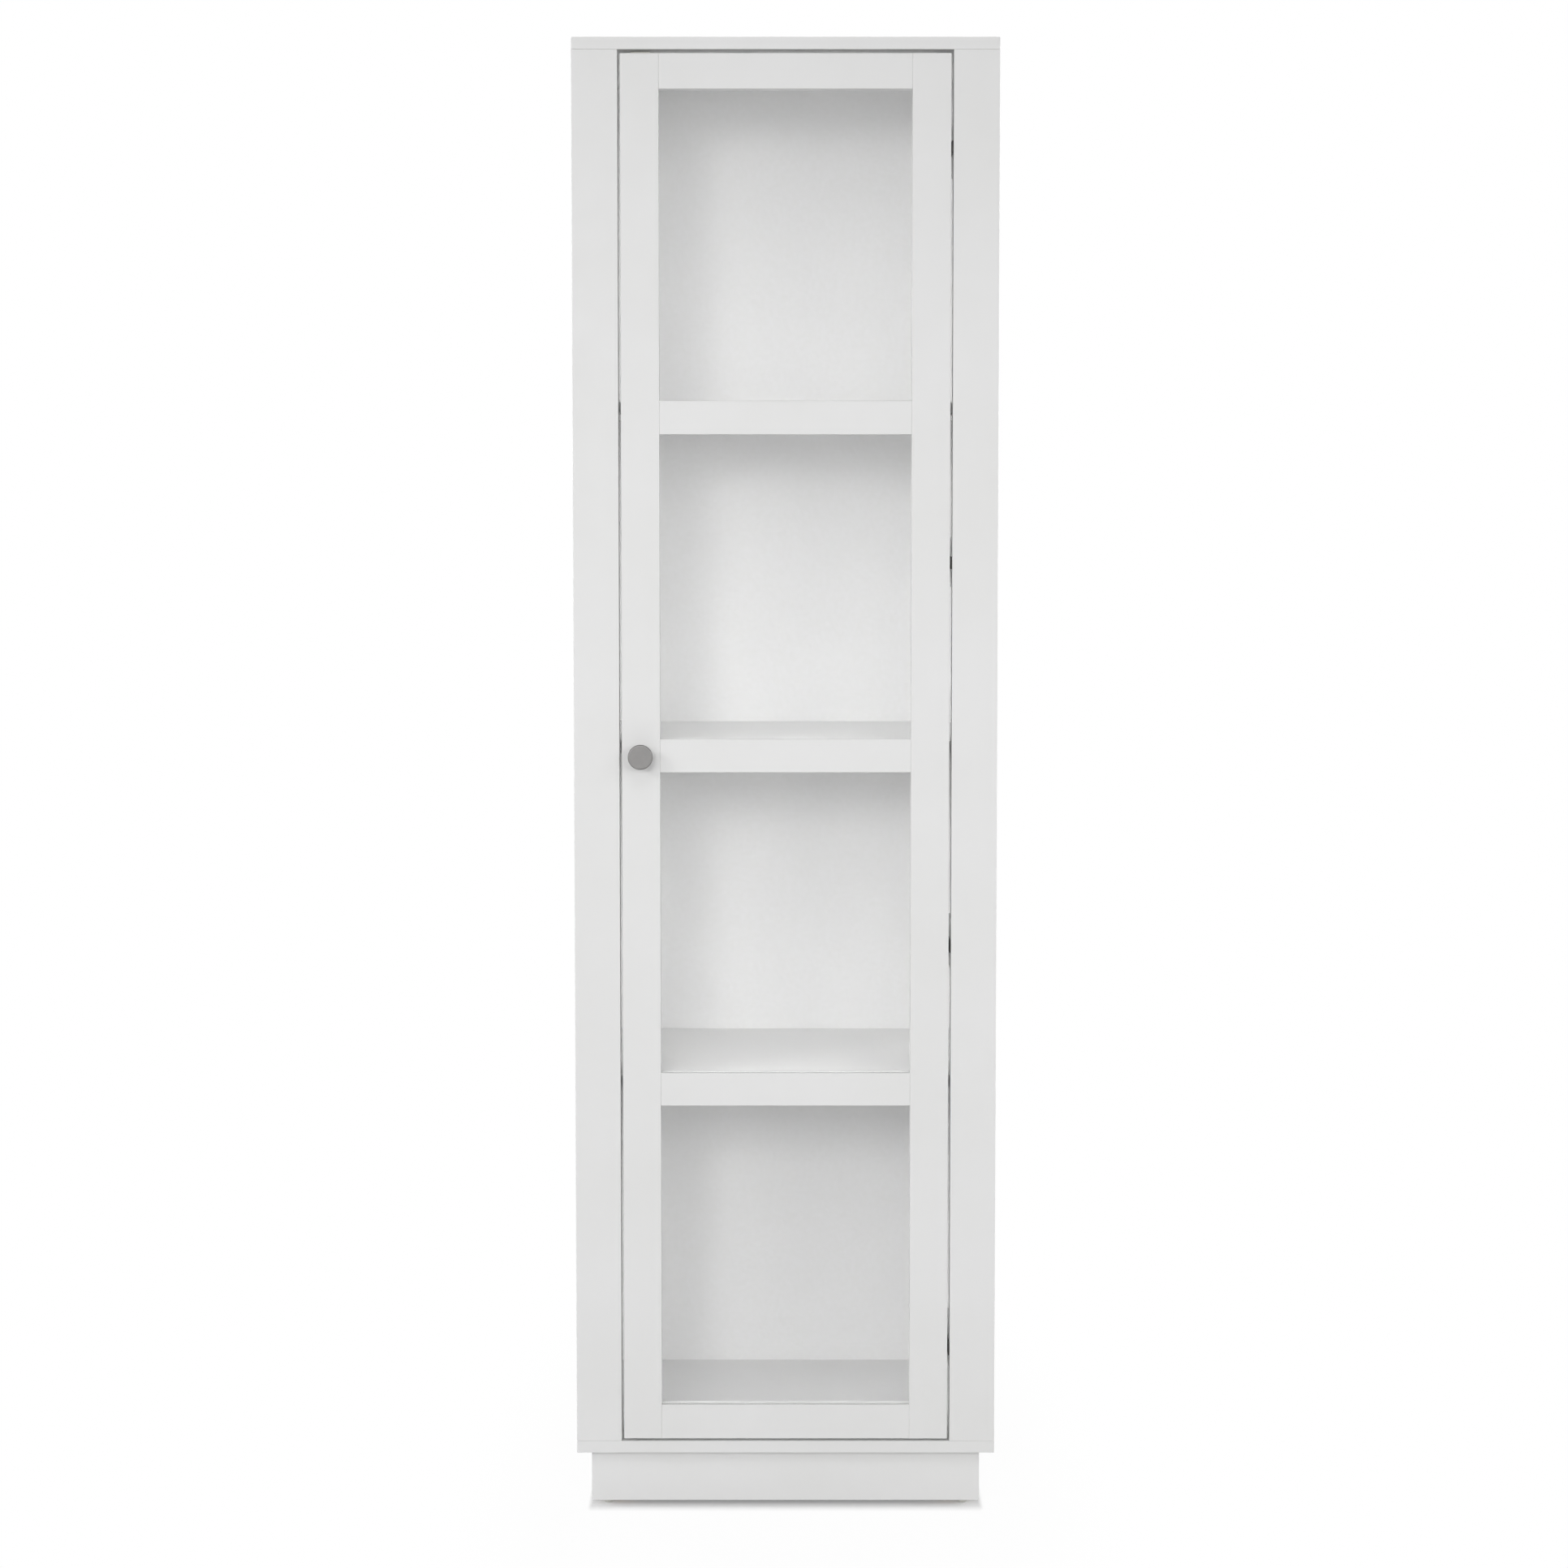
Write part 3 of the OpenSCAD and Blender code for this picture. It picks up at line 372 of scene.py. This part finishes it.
# Knob: turned in one piece, from the foot on the door out to the flat face
knobValues = {
    "footRadius": 0.0085,
    "footThickness": 0.0025,
    "footEase": 0.0006,
    "neckRadius": 0.006,
    "rimThickness": 0.006,
    "backChamfer": (0.002, 0.0015),
    "rimRadius": 0.0013,
    "faceStart": 0.0006,  # from the rim's round to the flat face's first ring
    "footSteps": 4,
    "neckSteps": 12,
    "rimSteps": 7,
    "steps": 96,
}


def arcPoints(centre, radius, start, end, count):  # an arc in the profile's plane, angles in degrees
    angles = [radians(start + (end - start) * i / (count - 1)) for i in range(count)]
    return [(centre[0] + radius[0] * cos(a), centre[1] + radius[1] * sin(a)) for a in angles]


def turnedKnob(v):
    headRadius = (knobHigh.x - knobLow.x) / 2
    length = frontY - knobLow.y
    half = (length - v["rimThickness"] - v["footThickness"]) / 2
    foot, neck, ease, rim = v["footRadius"], v["neckRadius"], v["footEase"], v["rimRadius"]
    swell = headRadius - v["backChamfer"][0]
    waist = v["footThickness"] + half  # how far out the neck is narrowest
    profile = [(0.0, 0.0), (foot, 0.0)]
    profile += arcPoints((foot - ease, v["footThickness"] - ease), (ease, ease), 0, 80, v["footSteps"])
    profile += arcPoints((foot - ease, waist), (foot - ease - neck, half), -90, -180, v["neckSteps"])[1:]
    profile += arcPoints((swell, waist), (swell - neck, half), 180, 90, v["neckSteps"])[1:]
    profile += [(headRadius, length - v["rimThickness"] + v["backChamfer"][1])]
    profile += arcPoints((headRadius - rim, length - rim), (rim, rim), 0, 90, v["rimSteps"])
    profile += [(headRadius - rim - v["faceStart"], length), (headRadius / 2, length), (0.0, length)]
    shape = bmesh.new()
    points = [shape.verts.new((knobCentre.x + r, frontY - out, knobCentre.z)) for r, out in profile]
    lines = [shape.edges.new(pair) for pair in zip(points, points[1:])]
    bmesh.ops.spin(shape, geom=points + lines, cent=(knobCentre.x, 0, knobCentre.z), axis=(0, 1, 0),
                   angle=2 * pi, steps=v["steps"], use_merge=True, use_normal_flip=False, use_duplicate=False)
    bmesh.ops.remove_doubles(shape, verts=shape.verts, dist=softening["merge"])
    bmesh.ops.recalc_face_normals(shape, faces=shape.faces)
    smoothByAngle(shape, softening["crease"])
    return placePiece(shape, "doorKnob", ["door_knob"])


turnedKnob(knobValues)
print("Knob turned")


# Stage: a floor that keeps the cabinet's shadow near it and fades to white away from it
floorValues = {
    "size": 24.0,
    "squares": 8,
    "colour": "F2F2F2",
    "under": 0.22,  # how much of the floor under the cabinet is plain white to the camera
    "near": 0.965,  # and near it
    "contact": 0.022,  # metres in front of the plinth over which the shadow shows
    "sideways": 4,  # how many times faster it fades at the sides
    "fade": (0.1, 0.8),
}


def makeFloor(v):
    shape = bmesh.new()
    bmesh.ops.create_grid(shape, x_segments=v["squares"], y_segments=v["squares"], size=v["size"] / 2)
    mesh = bpy.data.meshes.new("studioFloor")
    shape.to_mesh(mesh)
    shape.free()
    floor = bpy.data.objects.new("studioFloor", mesh)
    bpy.context.scene.collection.objects.link(floor)
    made = bpy.data.materials.new("studioPaper")
    made.use_nodes = True
    tree = made.node_tree
    tree.nodes.remove(tree.nodes["Principled BSDF"])
    plinthLow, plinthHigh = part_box("plinth_front")
    half = Vector((plinthHigh.x, -plinthLow.y, v["size"]))  # the plinth's half width and depth, and any height
    place = addNode(tree, "ShaderNodeTexCoord").outputs["Object"]
    folded = addNode(tree, "ShaderNodeVectorMath", {"operation": "ABSOLUTE"}, {0: place})
    beyond = addNode(tree, "ShaderNodeVectorMath", {"operation": "SUBTRACT", 1: half}, {0: folded.outputs[0]})
    outside = addNode(tree, "ShaderNodeVectorMath", {"operation": "MAXIMUM", 1: (0, 0, 0)}, {0: beyond.outputs[0]})
    widened = addNode(tree, "ShaderNodeVectorMath", {"operation": "MULTIPLY", 1: (v["sideways"], 1, 0)},
                      {0: outside.outputs[0]})
    away = addNode(tree, "ShaderNodeVectorMath", {"operation": "LENGTH"}, {0: widened.outputs[0]}).outputs["Value"]
    close = addNode(tree, "ShaderNodeMapRange", {"From Min": 0.0, "From Max": v["contact"], "To Min": v["under"],
                                                 "To Max": v["near"]}, {"Value": away}).outputs[0]
    far = addNode(tree, "ShaderNodeMapRange", {"interpolation_type": "SMOOTHSTEP", "From Min": v["fade"][0],
                                               "From Max": v["fade"][1], "To Min": 0.0, "To Max": 1.0 - v["near"]},
                  {"Value": away}).outputs[0]
    plain = addNode(tree, "ShaderNodeMath", {"operation": "ADD"}, {0: close, 1: far}).outputs[0]
    white = addNode(tree, "ShaderNodeMath", {"operation": "MULTIPLY"}, {0: plain, 1: seenDirectly(tree)})
    paper = addNode(tree, "ShaderNodeBsdfDiffuse", {"Color": linear(v["colour"])})
    glow = addNode(tree, "ShaderNodeEmission", {"Color": (1, 1, 1, 1), "Strength": 1.0})
    mixed = addNode(tree, "ShaderNodeMixShader", None, {0: white.outputs[0], 1: paper.outputs[0], 2: glow.outputs[0]})
    tree.links.new(mixed.outputs[0], tree.nodes["Material Output"].inputs["Surface"])
    mesh.materials.append(made)


makeFloor(floorValues)


# World: white to the eye and in reflections, and a plain fill for everything else
worldValues = {"fill": 0.17}  # how strongly it lights the cabinet


def makeWorld(v):
    world = bpy.data.worlds.new("studioWorld")
    bpy.context.scene.world = world
    world.use_nodes = True
    tree = world.node_tree
    strength = addNode(tree, "ShaderNodeMapRange", {"To Min": v["fill"], "To Max": 1.0}, {"Value": seenDirectly(tree)})
    back = tree.nodes["Background"]
    back.inputs["Color"].default_value = (1, 1, 1, 1)
    tree.links.new(strength.outputs[0], back.inputs["Strength"])


makeWorld(worldValues)


# Lamps, each placed by its direction in degrees and its distance from the middle of the door, and aimed at one
# height. Each is a softbox with a grid, so its light falls off above and below. The share is how much of a white
# face's brightness the lamp gives when the face is turned to it.
lampAim = {"height": 0.9, "beam": 78}
lamps = {
    "keyLamp": {"left": 10, "up": 12, "distance": 4.2, "size": 0.65, "share": 0.168},
    "highLamp": {"left": 4, "up": 46, "distance": 5.0, "size": 2.0, "share": 0.145},
    "innerLeftLamp": {"left": 26, "up": 9, "distance": 5.0, "size": 1.4, "share": 0.126},
    "innerRightLamp": {"left": -25, "up": 9, "distance": 5.0, "size": 1.4, "share": 0.194},
    "leftLamp": {"left": 48, "up": 22, "distance": 5.5, "size": 1.2, "share": 0.152},
    "rightLamp": {"left": -48, "up": 22, "distance": 5.5, "size": 1.4, "share": 0.086},
    "topLamp": {"left": 180, "up": 80, "distance": 5.0, "size": 1.6, "share": 0.22},
    "sideLeftLamp": {"left": 96, "up": 5, "distance": 5.0, "size": 2.0, "share": 0.32},
    "sideRightLamp": {"left": -96, "up": 5, "distance": 5.0, "size": 2.0, "share": 0.32},
    "backLeftLamp": {"left": 142, "up": 10, "distance": 5.0, "size": 2.0, "share": 0.37},
    "backRightLamp": {"left": -142, "up": 10, "distance": 5.0, "size": 2.0, "share": 0.37},
}


def makeLamp(name, v):
    left, up = radians(v["left"]), radians(v["up"])
    way = Vector((-sin(left) * cos(up), -cos(left) * cos(up), sin(up)))
    half = radians(lampAim["beam"] / 2)
    light = bpy.data.lights.new(name, "AREA")
    light.shape = "DISK"
    light.size = v["size"]
    light.spread = 2 * half
    light.energy = v["share"] * pi ** 2 * v["distance"] ** 2 * (1 - half / tan(half))  # the beam gathers the light
    lamp = bpy.data.objects.new(name, light)
    lamp.location = Vector((0, frontY, knobCentre.z)) + way * v["distance"]
    lamp.rotation_mode = "QUATERNION"
    lamp.rotation_quaternion = (Vector((0, frontY, lampAim["height"])) - lamp.location).to_track_quat("-Z", "Y")
    lamp.visible_camera = False
    bpy.context.scene.collection.objects.link(lamp)


for name, values in lamps.items():
    makeLamp(name, values)
print("Stage, world and lamps set")

bpy.context.scene.view_settings.view_transform = "Standard"
